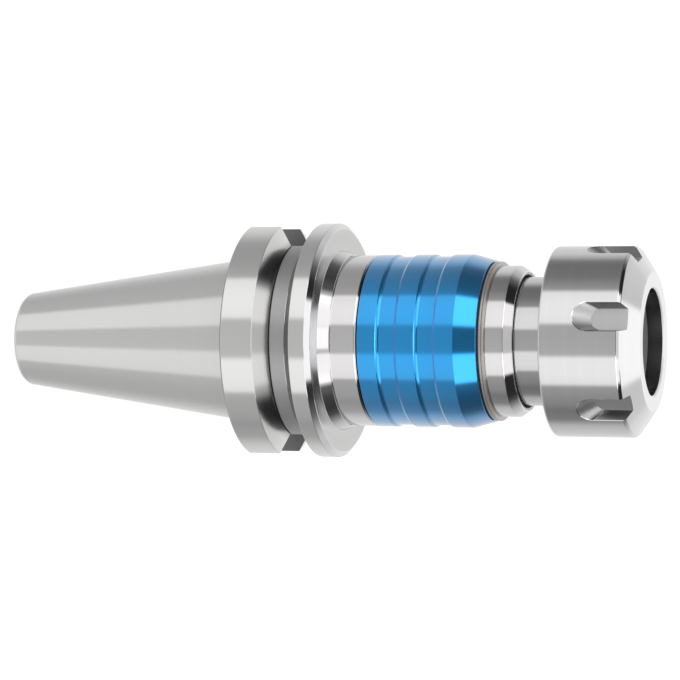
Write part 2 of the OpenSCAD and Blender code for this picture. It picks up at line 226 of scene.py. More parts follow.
ARC = [(0, 0.05), (26, 0.05), (31, 1.2), (43, 1.3), (46, 0.56), (53, 0.6), (55, 0.75), (59, 0.8),
       (61, 4.0), (66, 4.0), (69, 1.15), (158, 1.2), (168, 1.0), (180, 1.0)]
print("the studio's ramps have", [len(stops) for stops in (DEEP, BACK, LOW, MIDDLE, HIGH, ARC)], "stops")

# %% Blend the ramps by height
# Each ramp after the first takes over from the one below it between two elevations.
LEVELS = [(BACK, -31, -23), (LOW, -16.8, -14.6), (MIDDLE, -6, 6), (HIGH, 25, 32)]
room = grey_ramp(tree, azimuth, DEEP)
for stops, start, end in LEVELS:
    above = smooth_step(tree, elevation, start, end)
    room = blend(tree, above, room, grey_ramp(tree, azimuth, stops), "RGBA")
# Far below the horizon the room is one grey.
GREY, GREY_START, GREY_FULL = 0.75, 42, 60
below = smooth_step(tree, times(elevation, -1), GREY_START, GREY_FULL)
room = blend(tree, below, room, (GREY, GREY, GREY, 1), "RGBA")
print("levels change at", [start for stops, start, end in LEVELS], "degrees")

# %% Hang the lamps overhead
# How wide their band is at the zenith, how far it leans, how soft its edges are, and
# between which elevations it comes in.
BAND_WIDTH, BAND_LEAN, BAND_EDGE = 0.38, 0.06, 0.03
BAND_START, BAND_FULL = 20, 27
off_centre = calc(tree, "ABSOLUTE", add(x, times(away_y, BAND_LEAN)))
aside = subtract(times(z, BAND_WIDTH), off_centre)
within = smooth_step(tree, aside, -BAND_EDGE, BAND_EDGE)
overhead = times(within, smooth_step(tree, elevation, BAND_START, BAND_FULL))
room = blend(tree, overhead, room, grey_ramp(tree, arc, ARC), "RGBA")
print("the band comes in at", BAND_START, "degrees")

# %% Show white to the camera and the room to everything else
straight = node(tree, "ShaderNodeLightPath").outputs["Is Camera Ray"]
seen = blend(tree, straight, room, (1, 1, 1, 1), "RGBA")
node(tree, "ShaderNodeOutputWorld", Surface=node(tree, "ShaderNodeBackground", Color=seen))
bpy.context.scene.view_settings.view_transform = "Standard"
print("view:", bpy.context.scene.view_settings.view_transform)

# %% [markdown]
# ## The floor
#
# The floor is a round sheet under the small end of the taper. Most of its brightness comes
# from a white glow that only the camera sees, and the rest from a pale matt surface, which
# takes the soft shadow of the chuck. From below the sheet is clear, so that the chuck's end
# can be looked at too.

# %% Helpers for sheets and mixed shaders
def from_bmesh(name, bm):
    """An object that holds a bmesh, which is freed."""
    mesh = bpy.data.meshes.new(name)
    bm.to_mesh(mesh)
    bm.free()
    return new_object(name, mesh)


def disc(name, radius, height, segments=128):
    """A flat round sheet that faces up."""
    bm = bmesh.new()
    bmesh.ops.create_circle(bm, cap_ends=True, radius=radius, segments=segments)
    bmesh.ops.translate(bm, verts=bm.verts, vec=(0, 0, height))
    bm.normal_update()
    if bm.faces[:][0].normal.z < 0:
        bmesh.ops.reverse_faces(bm, faces=bm.faces[:])
    return from_bmesh(name, bm)


def mix_shaders(tree, factor, a, b):
    """Shader a where factor is 0, b where it is 1."""
    made = tree.nodes.new("ShaderNodeMixShader")
    for slot, source in zip(made.inputs, (factor, a, b)):
        connect(tree, slot, source)
    return made


# %% Lay the floor
FLOOR_RADIUS, FLOOR_GAP = 30, 0.0001
GLOW_SHARE = 0.85
floor = disc("floor", FLOOR_RADIUS, cad_box[0].z - FLOOR_GAP)
floor_look = bpy.data.materials.new("pale floor")
floor_look.use_nodes = True
tree = floor_look.node_tree
tree.nodes.clear()
paper = node(tree, "ShaderNodeBsdfDiffuse", Color=(0.95, 0.95, 0.95, 1))
glow = node(tree, "ShaderNodeEmission", Color=(1, 1, 1, 1), Strength=1.1)
rays = node(tree, "ShaderNodeLightPath").outputs
sees = calc(tree, "MAXIMUM", rays["Is Camera Ray"], rays["Is Glossy Ray"])
sees = calc(tree, "MAXIMUM", sees, rays["Is Transmission Ray"])
both = mix_shaders(tree, calc(tree, "MULTIPLY", sees, GLOW_SHARE), paper, glow)
underside = node(tree, "ShaderNodeNewGeometry").outputs["Backfacing"]
one_sided = mix_shaders(tree, underside, both, node(tree, "ShaderNodeBsdfTransparent"))
node(tree, "ShaderNodeOutputMaterial", Surface=one_sided)
floor.data.materials.append(floor_look)
floor.visible_glossy = False
floor.visible_diffuse = False
floor.visible_shadow = False
floor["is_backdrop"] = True
print("floor at", round(cad_box[0].z / MM, 2), "mm")

# %% [markdown]
# ## Lathe marks, shared by every turned surface
#
# A turning tool leaves rings that are too fine to see one by one, but they break a
# reflection up into fine streaks. The rings run round the axis, so the pattern may change
# with height and with the distance from the axis, and hardly with the angle.
#
# More than one finish needs them, so they are made once, as a node group. The group gives
# only values, a height and a tone, and each material decides what to do with them.

# %% Build the lathe mark group
def new_tree(kind, name, inputs, **outputs):
    """An empty tree with named sockets. Inputs are {name: (type, default)}, outputs name=type."""
    tree = bpy.data.node_groups.new(name, kind + "NodeTree")
    for label, (socket_type, default) in inputs.items():
        socket = tree.interface.new_socket(
            name=label, in_out="INPUT", socket_type="NodeSocket" + socket_type)
        if default is not None:
            socket.default_value = default
    for label, socket_type in outputs.items():
        tree.interface.new_socket(name=label, in_out="OUTPUT", socket_type="NodeSocket" + socket_type)
    return tree, tree.nodes.new("NodeGroupInput").outputs, tree.nodes.new("NodeGroupOutput")


COARSE = 0.13
marks, given, result = new_tree("Shader", "lathe marks", {
    "Spacing": ("Float", 0.3), "Drift": ("Float", 0.6)}, Height="Float", Tone="Float")
add, times, over, arctan = maths(marks, "ADD", "MULTIPLY", "DIVIDE", "ARCTAN2")
coords = node(marks, "ShaderNodeTexCoord").outputs["Object"]
x, y, z = node(marks, "ShaderNodeSeparateXYZ", Vector=coords).outputs
radius = calc(marks, "SQRT", add(times(x, x), times(y, y)))
per_metre = over(1000.0, given["Spacing"])
drift = times(arctan(y, calc(marks, "ABSOLUTE", x)), given["Drift"])
place = node(marks, "ShaderNodeCombineXYZ", X=times(z, per_metre), Y=times(radius, per_metre), Z=drift)
fine = node(marks, "ShaderNodeTexNoise", Scale=1.0, Detail=3.0, Roughness=0.6, Vector=place)
spread = node(marks, "ShaderNodeVectorMath", operation="SCALE", Scale=COARSE, Vector=place)
wide = node(marks, "ShaderNodeTexNoise", Scale=1.0, Detail=2.0, Vector=spread)
fill(marks, result, Height=fine, Tone=wide)
print("group", marks.name, [s.name for s in marks.interface.items_tree])

# %% [markdown]
# ## Handling marks
#
# A tool that is used and wiped has faint soft clouds on it, from oil and fingers, that
# change its gloss a little. A second group gives such clouds as one mask.

# %% Build the handling group
clouds, given, result = new_tree("Shader", "handling", {
    "Size": ("Float", 12.0), "Contrast": ("Float", 1.0)}, Mask="Float")
add, subtract, times, over = maths(clouds, "ADD", "SUBTRACT", "MULTIPLY", "DIVIDE")
coords = node(clouds, "ShaderNodeTexCoord").outputs["Object"]
patches = node(clouds, "ShaderNodeTexNoise", Detail=4.0, Roughness=0.55, Distortion=0.4,
               Vector=coords, Scale=over(1000.0, given["Size"]))
centred = subtract(patches, 0.5)
fill(clouds, result, Mask=add(times(centred, given["Contrast"]), 0.5))
print("group", clouds.name, [s.name for s in clouds.interface.items_tree])

# %% [markdown]
# ## Steel finishes
#
# One function makes all the bare steels, which differ in tone, gloss and in how coarse
# their marks are. The marks raise a bump of about a micrometre, lift and lower the
# roughness, and tint the colour by a few percent.
#
# Rings round the axis spread a reflection along the axis only. That is anisotropy: the
# tangent runs round Z, and the rotation of a quarter turn says that the gloss is widest
# across it.

# %% Define the steel maker
MICRON = 1e-6


def new_look(name):
    """A new material, its tree and its Principled shader."""
    look = bpy.data.materials.new(name)
    look.use_nodes = True
    return look, look.node_tree, look.node_tree.nodes["Principled BSDF"]


def shade(tone, factor):
    """A tone made lighter or darker, with an alpha of 1."""
    return tuple(min(1, c * factor) for c in tone) + (1,)


def metal(name, tone, roughness, spacing=0.35, depth=0.5, vary=0.06, tint=0.06,
          anisotropy=0.5, metallic=1.0):
    """A turned metal: tone is its colour, depth its marks in micrometres."""
    look, tree, shader = new_look(name)
    add, times = maths(tree, "ADD", "MULTIPLY")
    rings = node(tree, "ShaderNodeGroup", node_tree=marks, Spacing=spacing).outputs
    hands = node(tree, "ShaderNodeGroup", node_tree=clouds, Size=14.0, Contrast=1.2).outputs
    colour = blend(tree, rings["Tone"], shade(tone, 1 - tint), shade(tone, 1 + tint), "RGBA")
    gloss = add(times(rings["Tone"], vary), times(hands["Mask"], vary))
    bump = node(tree, "ShaderNodeBump", Strength=1.0, Distance=depth * MICRON, Height=rings["Height"])
    tangent = node(tree, "ShaderNodeTangent", direction_type="RADIAL", axis="Z")
    fill(tree, shader, Base_Color=colour, Roughness=add(gloss, roughness - vary), Metallic=metallic,
         Normal=bump, Anisotropic=anisotropy, Anisotropic_Rotation=0.25, Tangent=tangent)
    return look


# %% Make the steels and the bronze
ground = metal("ground steel", (0.79, 0.785, 0.78), 0.16, spacing=0.12, depth=0.25, tint=0.02,
               metallic=0.75, vary=0.04)
turned_look = metal("turned steel", (0.82, 0.815, 0.81), 0.13, spacing=0.4, depth=0.5, tint=0.03,
                    metallic=0.95, vary=0.04)
faced = metal("faced steel", (0.53, 0.525, 0.52), 0.21, spacing=0.5, depth=1.2, tint=0.08, metallic=0.92)
polished = metal("polished steel", (0.80, 0.785, 0.79), 0.09, spacing=0.4, depth=0.25, tint=0.06, vary=0.03)
neck_look = metal("neck steel", (0.72, 0.71, 0.72), 0.12, spacing=0.3, depth=0.4, tint=0.10, vary=0.03)
# painted shade: a near-black look for narrow reliefs and gaps, where shade falls
painted_shade = metal("painted corner shade", (0.03, 0.03, 0.03), 0.5, metallic=0.3)
groove_look = metal("groove steel", (0.46, 0.46, 0.46), 0.42, spacing=0.8, depth=2.5, anisotropy=0.2,
                    metallic=0.75)
slot_look = metal("drive slot steel", (0.26, 0.26, 0.26), 0.35, spacing=0.6, depth=1.5, anisotropy=0.0,
                  metallic=0.7)
# painted shade: the wrench slots' side walls are darker than their floor, as the shade falls
wall_shade_look = metal("milled wall steel, painted shade", (0.27, 0.27, 0.275), 0.25, spacing=0.5, depth=1.0, anisotropy=0.0)
# painted light: a pale, mostly matt steel that shows a lit crescent inside the nut's opening and a highlight
# on its edge
painted_light_look = metal("pale steel, painted light", (0.9, 0.9, 0.9), 0.3, metallic=0.25)
milled = metal("milled steel", (0.50, 0.50, 0.50), 0.34, spacing=0.5, depth=1.5, anisotropy=0.0,
               metallic=0.8)
nut_look = metal("nut steel", (0.80, 0.795, 0.795), 0.12, spacing=0.25, depth=0.6, tint=0.04, vary=0.04)
wire_look = metal("spring steel", (0.45, 0.42, 0.40), 0.28, spacing=0.6, depth=0.5, metallic=0.6)
satin = metal("satin steel", (0.62, 0.62, 0.63), 0.34, metallic=0.6)
bronze = metal("bronze", (0.60, 0.40, 0.20), 0.28, spacing=0.5, depth=1.5)
black_steel = metal("black steel", (0.035, 0.035, 0.038), 0.34, spacing=0.6, tint=0.2, metallic=0.6)
ball_look = metal("ball steel", (0.85, 0.85, 0.86), 0.05, depth=0.02, anisotropy=0.0)
# painted shade: a dark steel for the seats and hollows deep inside, and for the edge of the flange's rear
# face
seat_shade_look = metal("seat steel, painted shade", (0.24, 0.24, 0.25), 0.24, spacing=0.4, depth=1.0)
print("bare metals:", [look.name for look in bpy.data.materials if look != floor_look])

# %% [markdown]
# ## The groove's flanks
#
# The two flanks of the gripper's groove face each other. The rear one is bright at its rim
# and has painted shade towards the floor, so its colour is blended over the distance from the
# axis. The front one gets a painted reflection of the dark groove wherever it turns away from
# the eye. That change goes with the view, not with the place, so Layer Weight gives it.

# %% Paint shade and a dark reflection into the two flanks
def recolour(look, mask, tone):
    """Turns the colour of a finished look to tone where the mask is 1."""
    tree, shader = look.node_tree, look.node_tree.nodes["Principled BSDF"]
    colour = shader.inputs["Base Color"].links[0].from_socket
    fill(tree, shader, Base_Color=blend(tree, mask, colour, tone + (1,), "RGBA"))


flank = metal("flank steel", (0.84, 0.835, 0.83), 0.16, spacing=0.5, depth=0.6, tint=0.03)
tree = flank.node_tree
coords = node(tree, "ShaderNodeTexCoord").outputs["Object"]
flat = node(tree, "ShaderNodeVectorMath", operation="MULTIPLY", Vector=coords)
flat.inputs[1].default_value = (1, 1, 0)
radius = node(tree, "ShaderNodeVectorMath", operation="LENGTH", Vector=flat).outputs["Value"]
# painted shade: the rear flank's colour turns near-black towards the groove's floor
unshaded_rim = smooth_step(tree, radius, 24.5 * MM, 28.5 * MM)
recolour(flank, calc(tree, "SUBTRACT", 1.0, unshaded_rim), (0.06, 0.06, 0.06))

front_flank = metal("front flank steel", (0.98, 0.975, 0.97), 0.14, spacing=0.5, depth=0.6, tint=0.03)
tree = front_flank.node_tree
# painted reflection: the front flank turns near-black where it faces away from the eye
painted_reflection_mask = node(tree, "ShaderNodeLayerWeight", Blend=0.5).outputs["Facing"]
recolour(front_flank, smooth_step(tree, painted_reflection_mask, 0.19, 0.27), (0.05, 0.05, 0.05))
print("flanks:", flank.name, "and", front_flank.name)

# %% [markdown]
# ## The sleeve's blue, rubber and plastic
#
# Anodised aluminium is metal under a clear dyed skin. The pale sheen where the blue is seen
# edge on is painted into its colour. Rubber and plastic are no metals: they only need a
# tone, soft clouds of gloss and a fine moulded grain.

# %% Blue, black rubber and plastic
blue = metal("blue anodised", (0.045, 0.40, 0.88), 0.14, spacing=0.3, depth=0.35, metallic=0.85,
             tint=0.04, vary=0.04, anisotropy=0.4)
# painted sheen: the blue turns pale where it is seen edge on
painted_edge_sheen = node(blue.node_tree, "ShaderNodeLayerWeight", Blend=0.5).outputs["Facing"]
recolour(blue, calc(blue.node_tree, "POWER", painted_edge_sheen, 2.2), (0.75, 0.8, 0.86))
GRAIN, GRAIN_DEPTH = 0.25, 4.0


def matt(name, tone, roughness):
    """A moulded surface: rubber or plastic, with a fine grain."""
    look, tree, shader = new_look(name)
    add, times = maths(tree, "ADD", "MULTIPLY")
    hands = node(tree, "ShaderNodeGroup", node_tree=clouds, Size=9.0, Contrast=1.5).outputs["Mask"]
    coords = node(tree, "ShaderNodeTexCoord").outputs["Object"]
    speck = node(tree, "ShaderNodeTexNoise", Scale=1000 / GRAIN, Detail=2.0, Vector=coords)
    bump = node(tree, "ShaderNodeBump", Strength=1.0, Distance=GRAIN_DEPTH * MICRON, Height=speck)
    fill(tree, shader, Base_Color=blend(tree, hands, shade(tone, 0.8), shade(tone, 1.25), "RGBA"),
         Roughness=add(times(hands, 0.15), roughness - 0.07), Normal=bump)
    return look


rubber = matt("black rubber", (0.016, 0.016, 0.017), 0.5)
plastic = matt("guide plastic", (0.20, 0.13, 0.075), 0.42)
print(len(bpy.data.materials), "materials")

# %% [markdown]
# ## Turning a piece
#
# Most pieces of a tool holder come off a lathe: a flat outline turned round the axis. The
# Spin tool or a Screw modifier would do that too. Plain mesh code is used here because it
# closes the poles exactly and lets each corner of the outline get its small edge break.
# No machined edge is truly sharp, and the break is what catches the thin lines of light.
#
# An outline is a list of (radius, height) corners, up along the outside and down the bore.

# %% Define the lathe
SEGMENTS = 288


def break_corners(outline, edge):
    """Each corner off the axis becomes two, a short way along its two sides."""
    made = []
    count = len(outline)
    for i, (r, z) in enumerate(outline):
        sides = [(outline[j][0] - r, outline[j][1] - z) for j in (i - 1, (i + 1) % count)]
        lengths = [math.hypot(*side) for side in sides]
        if r < 1e-6:
            made.append((0.0, z))
            continue
        for (dr, dz), length in zip(sides, lengths):
            share = min(edge / length, 0.3)
            made.append((r + dr * share, z + dz * share))
    return made


def mesh_object(name, vertices, faces, materials):
    """An object with a mesh of these points and faces, in metres."""
    mesh = bpy.data.meshes.new(name)
    mesh.from_pydata(vertices, [], faces)
    mesh.validate()
    for look in materials:
        mesh.materials.append(look)
    return new_object(name, mesh)


def lathe(name, outline, looks, edge=0.06, segments=SEGMENTS):
    """A closed solid turned from an outline in millimetres."""
    vertices, rings = [], []
    for r, z in break_corners(outline, edge):
        start = len(vertices)
        count = 1 if r < 1e-6 else segments
        for k in range(count):
            a = 2 * math.pi * k / segments
            vertices.append((r * MM * math.cos(a), r * MM * math.sin(a), z * MM))
        rings.append([start + k % count for k in range(segments)])
    faces = []
    for a, b in zip(rings, rings[1:] + rings[:1]):
        for k in range(segments):
            m = (k + 1) % segments
            corners = list(dict.fromkeys((a[k], a[m], b[m], b[k])))
            if len(corners) > 2:
                faces.append(corners)
    return mesh_object(name, vertices, faces, looks)


# A distance that no face reaches.
FAR = 1000.0


def paint_faces(made, rules):
    """A face gets the look of the first rule that its centre fits. A rule is a look, two
    distances from the axis and two heights, in millimetres, between which the centre lies."""
    looks = list(made.data.materials)
    for face in made.data.polygons:
        r, height = math.hypot(face.center.x, face.center.y) / MM, face.center.z / MM
        for look, inner, outer, low, high in rules:
            if inner < r < outer and low < height < high:
                face.material_index = looks.index(look)
                break


# %% [markdown]
# ## True round normals
#
# A turned mesh is made of flat faces, and Blender rounds their shading by averaging the
# faces at each corner. Next to a cut that average leans to one side, and polished steel
# shows it. So each face of the turned surface gets the exact normals of a round one: its
# own normal, swung round the axis to each of its corners. Milled faces keep theirs.

# %% Define the normals
def round_normals(made, flat=(), angle=30):
    """Sets corner normals; faces whose material is in flat aren't turned."""
    mesh = made.data
    mesh.shade_smooth()
    mesh.set_sharp_from_angle(angle=math.radians(angle))
    corners = np.zeros(len(mesh.loops) * 3, np.float32)
    mesh.corner_normals.foreach_get("vector", corners)
    corners = corners.reshape(-1, 3).astype(float)
    skip = {i for i, look in enumerate(mesh.materials) if look in flat}
    points = np.array([v.co for v in mesh.vertices], float)
    for face in mesh.polygons:
        if face.material_index in skip:
            continue
        n, c = np.array(face.normal), np.array(face.center)
        r = math.hypot(c[0], c[1])
        if r < 1e-7:
            continue
        out = (n[0] * c[0] + n[1] * c[1]) / r
        along = (n[1] * c[0] - n[0] * c[1]) / r
        if abs(along) > 0.03:
            continue
        for loop in face.loop_indices:
            p = points[mesh.loops[loop].vertex_index]
            q = math.hypot(p[0], p[1])
            side = (p[0] / q, p[1] / q) if q > 1e-6 else (c[0] / r, c[1] / r)
            corners[loop] = (out * side[0], out * side[1], n[2])
    corners /= np.linalg.norm(corners, axis=1)[:, None]
    mesh.normals_split_custom_set([tuple(c) for c in corners])


def finish(made, body, cad):
    """The piece rides on its body and stands for its CAD node."""
    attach(made, body)
    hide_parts(cad)
    print(made.name, len(made.data.polygons), "faces")


# %% [markdown]
# ## Geometry Nodes: copies round the axis
#
# Wrench slots, drive slots and balls all repeat round the axis. A small Geometry Nodes tree
# does that for any of them: it makes as many points as copies, puts the piece on each with
# its own turn about Z, and then realizes the instances, because what is exported has to be
# real mesh. Its inputs are named, so that the modifier reads like a setting.

# %% Build the ring of copies tree
def close_tree(tree, given, result, geometry):
    """Every tree ends in Realize Instances and Set Material."""
    real = node(tree, "GeometryNodeRealizeInstances", Geometry=geometry)
    paint = node(tree, "GeometryNodeSetMaterial", Geometry=real, Material=given["Material"])
    fill(tree, result, Geometry=paint)


copies, given, result = new_tree("Geometry", "ring of copies", {
    "Geometry": ("Geometry", None), "Count": ("Int", 3), "First Angle": ("Float", 0.0),
    "Material": ("Material", None)}, Geometry="Geometry")
add, times, over = maths(copies, "ADD", "MULTIPLY", "DIVIDE")
points = node(copies, "GeometryNodePoints", Count=given["Count"])
index = node(copies, "GeometryNodeInputIndex")
angle = add(times(index, over(360.0, given["Count"])), given["First Angle"])
spin = node(copies, "ShaderNodeCombineXYZ", Z=calc(copies, "RADIANS", angle))
put = node(copies, "GeometryNodeInstanceOnPoints", Points=points, Instance=given["Geometry"],
           Rotation=spin)
close_tree(copies, given, result, put)
print("tree", copies.name, [s.name for s in copies.interface.items_tree])

# %% Helpers that run a tree, cut and loft
def apply_modifiers(made):
    """Keeps the plain mesh that the modifiers give."""
    bpy.context.view_layer.update()
    graph = bpy.context.evaluated_depsgraph_get()
    mesh = bpy.data.meshes.new_from_object(made.evaluated_get(graph))
    made.modifiers.clear()
    made.data = mesh
    return made


def apply_tree(made, tree, **values):
    """Runs a tree on an object and keeps the plain mesh it gives."""
    modifier = made.modifiers.new(tree.name, "NODES")
    modifier.node_group = tree
    sockets = {s.name: s.identifier for s in tree.interface.items_tree if s.in_out == "INPUT"}
    for label, value in values.items():
        modifier[sockets[label.replace("_", " ")]] = value
    return apply_modifiers(made)


def cut(made, tool):
    """Takes tool away from made, and throws the tool away."""
    modifier = made.modifiers.new("cut", "BOOLEAN")
    modifier.operation, modifier.solver, modifier.object = "DIFFERENCE", "EXACT", tool
    modifier.material_mode = "TRANSFER"
    apply_modifiers(made)
    bpy.data.objects.remove(tool)


def outward(made):
    """Merges doubles, turns every face outwards and gives the volume in cubic millimetres."""
    bm = bmesh.new()
    bm.from_mesh(made.data)
    bmesh.ops.remove_doubles(bm, verts=bm.verts, dist=1e-7)
    bmesh.ops.recalc_face_normals(bm, faces=bm.faces)
    volume = bm.calc_volume(signed=True)
    if volume < 0:
        bmesh.ops.reverse_faces(bm, faces=bm.faces)
    bm.to_mesh(made.data)
    bm.free()
    return abs(volume) * 1e9


def loft(name, loops):
    """A closed solid through loops of points in millimetres, each with the same count."""
    count = len(loops[0])
    vertices = [tuple(c * MM for c in p) for loop in loops for p in loop]
    faces = [list(range(count))[::-1], [(len(loops) - 1) * count + k for k in range(count)]]
    for i in range(len(loops) - 1):
        for k in range(count):
            m = (k + 1) % count
            faces.append([i * count + k, i * count + m, (i + 1) * count + m, (i + 1) * count + k])
    made = mesh_object(name, vertices, faces, [])
    outward(made)
    return made


# %% [markdown]
# ## The shank
#
# The shank is one long piece of steel: the taper that seats in the machine, the flange
# with the gripper's V groove and two drive slots, and the tube that carries the sleeve and
# ends in the nose. It is turned from one outline, hollow inside as the real one, and the
# slots and the ball holes are cut into it afterwards.
#
# The taper is ground, the flange is turned and its front faced off, the groove is left
# dull, and the cones, the collar and the nose are polished. These are the same piece, so
# the finish is chosen for each face by where it lies. The two reliefs and the collar's front
# face get a near-black look, and the edge of the flange's rear face a dark one: both are
# painted shade.

# %% Turn the shank
SHANK = [
    (0, -35.19), (7, -39.4), (7, -57.4), (8.5, -57.4), (8.5, -64.9), (9.0, -65.4),
    (12.29, -65.4), (12.80, -64.6), (22.225, 0), (22.225, 0.5), (21.625, 1.1), (21.625, 2.0),
    (31.1, 2.0), (31.5, 2.4), (31.5, 10.95), (26.5, 13.837), (26.15, 13.837), (26.15, 14.187),
    (26.5, 14.187), (26.5, 18.237), (31.5, 21.124),
    (31.5, 25.324), (30.0, 26.524), (24.5, 26.524), (23.05, 29.4), (22.55, 29.4),
    (22.55, 29.68), (22.9, 29.68), (22.9, 36.19), (22.6, 36.62), (20.0, 36.62),
    (20.0, 69.174), (19.2, 69.174), (19.2, 70.574), (20.0, 70.574), (20.0, 75.434),
    (18.6, 77.584), (18.22, 77.584), (18.22, 63.884), (17.05, 63.884), (17.05, 5.0),
    (11.5, 5.0), (11.5, -22.0), (4.03, -22.0), (4.03, -33.0), (0, -33.0)]
SHANK_LOOKS = [
    (ground, 0, FAR, -FAR, 0.4),           # the taper, and the hole for the pull stud
    # painted shade: the edge of the flange's rear face is darkened
    (seat_shade_look, 31.1, 31.45, -FAR, 2.4),   # the edge of the flange's rear face
    (turned_look, 31.4, FAR, -FAR, FAR),   # the rims of the flange
    (faced, 24.6, FAR, 26.514, 26.534),    # the flange's front face
    (groove_look, 24, FAR, 14.17, 18.22),  # the groove's floor
    # painted shade: near-black in the two reliefs and on the collar's front face, where shade falls
    (painted_shade, 24, FAR, 13.84, 14.2),         # the relief in the groove's rear corner
    (painted_shade, 21, FAR, -FAR, 1.9),           # the relief behind the flange
    (painted_shade, 0, FAR, 36.61, 36.63),         # the collar's front face
    (flank, 26.4, FAR, 10.9, 13.9),
    (front_flank, 26.4, FAR, 18.3, 21.1),
    (polished, 0, FAR, -FAR, FAR)]         # the cones, the collar, the tube and the nose
shank = lathe("shank_turned", SHANK, [ground, turned_look, faced, groove_look, painted_shade, polished, flank,
                                      seat_shade_look, front_flank])
paint_faces(shank, SHANK_LOOKS)


def slot_profile(half_width, low, high, corner, steps=12):
    """Outline of a slot's end with two round corners, as (side, height)."""
    made = [(half_width, low)]
    for side, start in ((1, 0), (-1, 90)):
        for k in range(steps + 1):
            a = math.radians(start + 90 * k / steps)
            made.append((side * (half_width - corner) + corner * math.cos(a),
                         high - corner + corner * math.sin(a)))
    return made + [(-half_width, low)]


KEY_HALF, KEY_LOW, KEY_HIGH, KEY_CORNER = 8.05, 1.0, 18.237, 2.0
KEY_FLOOR, PAST_RIM = 22.5, 33.0
ring = slot_profile(KEY_HALF, KEY_LOW, KEY_HIGH, KEY_CORNER)
tool = loft("drive_slot_cut", [[(x, s, h) for s, h in ring] for x in (KEY_FLOOR, PAST_RIM)])
cut(shank, apply_tree(tool, copies, Count=2, First_Angle=0.0, Material=slot_look))
BALL, TRACK, BALLS_OUT, BALLS_UP, FIRST_BALL = 3.0, 3.05, 17.0, 45.024, 30.0
circle = [(math.cos(2 * math.pi * k / 32), math.sin(2 * math.pi * k / 32)) for k in range(32)]
tool = loft("ball_hole_cut", [[(x, TRACK * c, BALLS_UP + TRACK * s) for c, s in circle] for x in (12, 20.5)])
cut(shank, apply_tree(tool, copies, Count=3, First_Angle=FIRST_BALL, Material=milled))
round_normals(shank, flat=[milled, slot_look])
finish(shank, "housing", "shank")

# %% [markdown]
# ## The sleeve
#
# The sleeve's outside follows a rule: raised and turned down bands of one width, in turn.
# Geometry Nodes state that rule. The corners of one pair of bands are given once, as the
# points of a small mesh: X is the radius, Z the height, and Y how round the corner is. For
# each point of a long line, the tree works out from the point's index which repeat and
# which corner it is, samples that corner and moves it along. The corners after the repeats,
# for the last band, the cone, the bore and the rear end, follow as they are given.
#
# The line becomes a closed curve, Fillet Curve rounds each corner by its own radius, and
# Curve to Mesh carries it round a circle, which turns it into a solid. A step down ends in
# a wide round foot. Its slope changes from steep to none, so it mirrors the lamp overhead
# and, right beside it, the dark above the camera: a bright line and a dark one.

# %% Build the repeated outline tree
repeated, given, result = new_tree("Geometry", "repeated outline", {
    "Geometry": ("Geometry", None), "Repeat Corners": ("Int", 4), "Repeats": ("Int", 2),
    "Pitch": ("Float", 10.44), "Bore Radius": ("Float", 20.05), "Round Points": ("Int", 6),
    "Segments": ("Int", SEGMENTS), "Material": ("Material", None)}, Geometry="Geometry")
add, subtract, times, over = maths(repeated, "ADD", "SUBTRACT", "MULTIPLY", "DIVIDE")
corners, bore = given["Repeat Corners"], times(given["Bore Radius"], MM)
index = node(repeated, "GeometryNodeInputIndex")
in_repeats = times(corners, given["Repeats"])
past = subtract(index, in_repeats)
is_after = calc(repeated, "GREATER_THAN", past, -0.5)
repeat = calc(repeated, "FLOOR", over(index, corners))
corner = blend(repeated, is_after, subtract(index, times(repeat, corners)),
               add(corners, calc(repeated, "MAXIMUM", past, 0.0)))
shift = blend(repeated, is_after, times(repeat, given["Pitch"]), 0.0)
size = node(repeated, "GeometryNodeAttributeDomainSize", Geometry=given["Geometry"])
rest = subtract(size.outputs["Point Count"], corners)
line = node(repeated, "GeometryNodeMeshLine", Count=add(in_repeats, rest))
here = node(repeated, "GeometryNodeInputPosition")
sample = node(repeated, "GeometryNodeSampleIndex", data_type="FLOAT_VECTOR",
              Geometry=given["Geometry"], Value=here, Index=corner)
out, bend, up = node(repeated, "ShaderNodeSeparateXYZ", Vector=sample).outputs
spot = node(repeated, "ShaderNodeCombineXYZ", X=subtract(out, bore),
            Y=times(add(up, times(shift, MM)), -1.0))
move = node(repeated, "GeometryNodeSetPosition", Geometry=line, Position=spot)
curve = node(repeated, "GeometryNodeMeshToCurve", Mesh=move)
closed = node(repeated, "GeometryNodeSetSplineCyclic", Geometry=curve, Cyclic=True)
fillet = node(repeated, "GeometryNodeFilletCurve", mode="POLY", Limit_Radius=True,
              Curve=closed, Radius=bend, Count=given["Round Points"])
around = node(repeated, "GeometryNodeCurvePrimitiveCircle", Radius=bore, Resolution=given["Segments"])
sweep = node(repeated, "GeometryNodeCurveToMesh", Curve=around, Profile_Curve=fillet)
close_tree(repeated, given, result, sweep)
print("tree", repeated.name, [s.name for s in repeated.interface.items_tree])

# %% Make the sleeve
def measure(made):
    """The lowest and highest point and the largest radius of a mesh, in millimetres."""
    points = [v.co / MM for v in made.data.vertices]
    found = min(p.z for p in points), max(p.z for p in points), max(math.hypot(p.x, p.y) for p in points)
    return [round(number, 3) for number in found]


def o_ring_groove(top):
    """The corners of a groove in the bore, from its top down."""
    low = top - 1.65
    return [(BORE, top, 0.05), (21.35, top, 0.3), (21.35, low, 0.3), (BORE, low, 0.05)]


